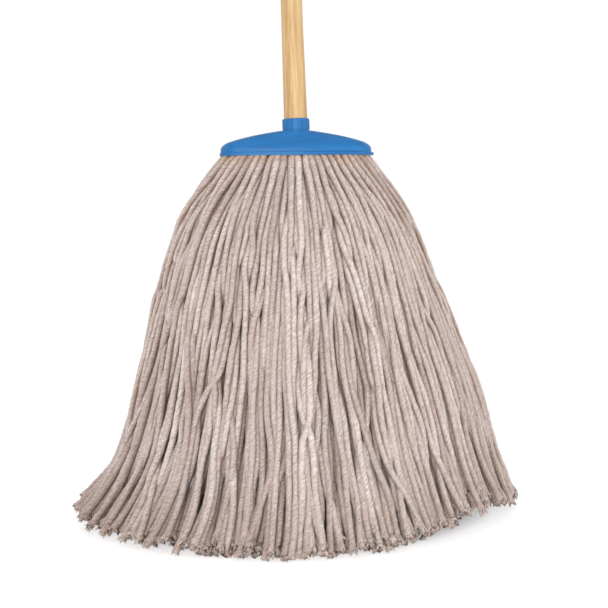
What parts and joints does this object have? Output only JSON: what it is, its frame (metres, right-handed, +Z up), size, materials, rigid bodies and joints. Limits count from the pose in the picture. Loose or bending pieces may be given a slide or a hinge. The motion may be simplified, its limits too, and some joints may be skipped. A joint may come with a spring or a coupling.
{
  "type": "string mop",
  "caption": "Floor mop with long twisted cotton strings under an oval moulded cap on a round wooden pole, standing on its spread strings.",
  "frame": {"origin": "on the floor, under the middle of the cap and of the ring of string ends", "axes": "+Z up, X along the cap's length, -Y towards the front of the mop; the pole leans 1.5 degrees towards -X"},
  "size_m": [0.464, 0.359, 1.5792],
  "materials": {
    "cap_plastic": "satin",
    "clamp_plastic": "matte",
    "screw_steel": "satin",
    "cotton_yarn": "matte",
    "pole_wood": "satin"
  },
  "bodies": {
    "head": {"cap_shell": "cap_plastic", "clamp_plate": "clamp_plastic", "clamp_screws": "screw_steel", "yarn_heads_front": "cotton_yarn", "yarn_heads_back": "cotton_yarn", "inner_strings_back_right": "cotton_yarn", "inner_strings_back": "cotton_yarn", "inner_strings_back_left": "cotton_yarn", "inner_strings_front_left": "cotton_yarn", "inner_strings_front": "cotton_yarn", "inner_strings_front_right": "cotton_yarn"},
    "pole": {"handle_pole": "pole_wood"},
    "lock_right": {"string_lock_right": "cotton_yarn"},
    "lock_back_right_end": {"string_lock_back_right_end": "cotton_yarn"},
    "lock_back_right": {"string_lock_back_right": "cotton_yarn"},
    "lock_back": {"string_lock_back": "cotton_yarn"},
    "lock_back_left": {"string_lock_back_left": "cotton_yarn"},
    "lock_back_left_end": {"string_lock_back_left_end": "cotton_yarn"},
    "lock_left": {"string_lock_left": "cotton_yarn"},
    "lock_front_left_end": {"string_lock_front_left_end": "cotton_yarn"},
    "lock_front_left": {"string_lock_front_left": "cotton_yarn"},
    "lock_front": {"string_lock_front": "cotton_yarn"},
    "lock_front_right": {"string_lock_front_right": "cotton_yarn"},
    "lock_front_right_end": {"string_lock_front_right_end": "cotton_yarn"}
  },
  "joints": [
    {"name": "pole_pull_out", "type": "slide", "parent": "head", "child": "pole", "axis": [-0.0262, 0, 0.9997], "range_m": [0, 0.032]},
    {"name": "lift_right", "type": "hinge", "parent": "head", "child": "lock_right", "pos_m": [0.08527, 0, 0.357], "axis": [0, -1, 0], "range_deg": [0, 60]},
    {"name": "lift_back_right_end", "type": "hinge", "parent": "head", "child": "lock_back_right_end", "pos_m": [0.07384, 0.01638, 0.357], "axis": [0.5, -0.866, 0], "range_deg": [0, 60]},
    {"name": "lift_back_right", "type": "hinge", "parent": "head", "child": "lock_back_right", "pos_m": [0.04263, 0.02838, 0.357], "axis": [0.866, -0.5, 0], "range_deg": [0, 60]},
    {"name": "lift_back", "type": "hinge", "parent": "head", "child": "lock_back", "pos_m": [0, 0.03277, 0.357], "axis": [1, 0, 0], "range_deg": [0, 60]},
    {"name": "lift_back_left", "type": "hinge", "parent": "head", "child": "lock_back_left", "pos_m": [-0.04263, 0.02838, 0.357], "axis": [0.866, 0.5, 0], "range_deg": [0, 60]},
    {"name": "lift_back_left_end", "type": "hinge", "parent": "head", "child": "lock_back_left_end", "pos_m": [-0.07384, 0.01638, 0.357], "axis": [0.5, 0.866, 0], "range_deg": [0, 60]},
    {"name": "lift_left", "type": "hinge", "parent": "head", "child": "lock_left", "pos_m": [-0.08527, 0, 0.357], "axis": [0, 1, 0], "range_deg": [0, 60]},
    {"name": "lift_front_left_end", "type": "hinge", "parent": "head", "child": "lock_front_left_end", "pos_m": [-0.07384, -0.01638, 0.357], "axis": [-0.5, 0.866, 0], "range_deg": [0, 60]},
    {"name": "lift_front_left", "type": "hinge", "parent": "head", "child": "lock_front_left", "pos_m": [-0.04263, -0.02838, 0.357], "axis": [-0.866, 0.5, 0], "range_deg": [0, 60]},
    {"name": "lift_front", "type": "hinge", "parent": "head", "child": "lock_front", "pos_m": [0, -0.03277, 0.357], "axis": [-1, 0, 0], "range_deg": [0, 60]},
    {"name": "lift_front_right", "type": "hinge", "parent": "head", "child": "lock_front_right", "pos_m": [0.04263, -0.02838, 0.357], "axis": [-0.866, -0.5, 0], "range_deg": [0, 60]},
    {"name": "lift_front_right_end", "type": "hinge", "parent": "head", "child": "lock_front_right_end", "pos_m": [0.07384, -0.01638, 0.357], "axis": [-0.5, -0.866, 0], "range_deg": [0, 60]}
  ]
}
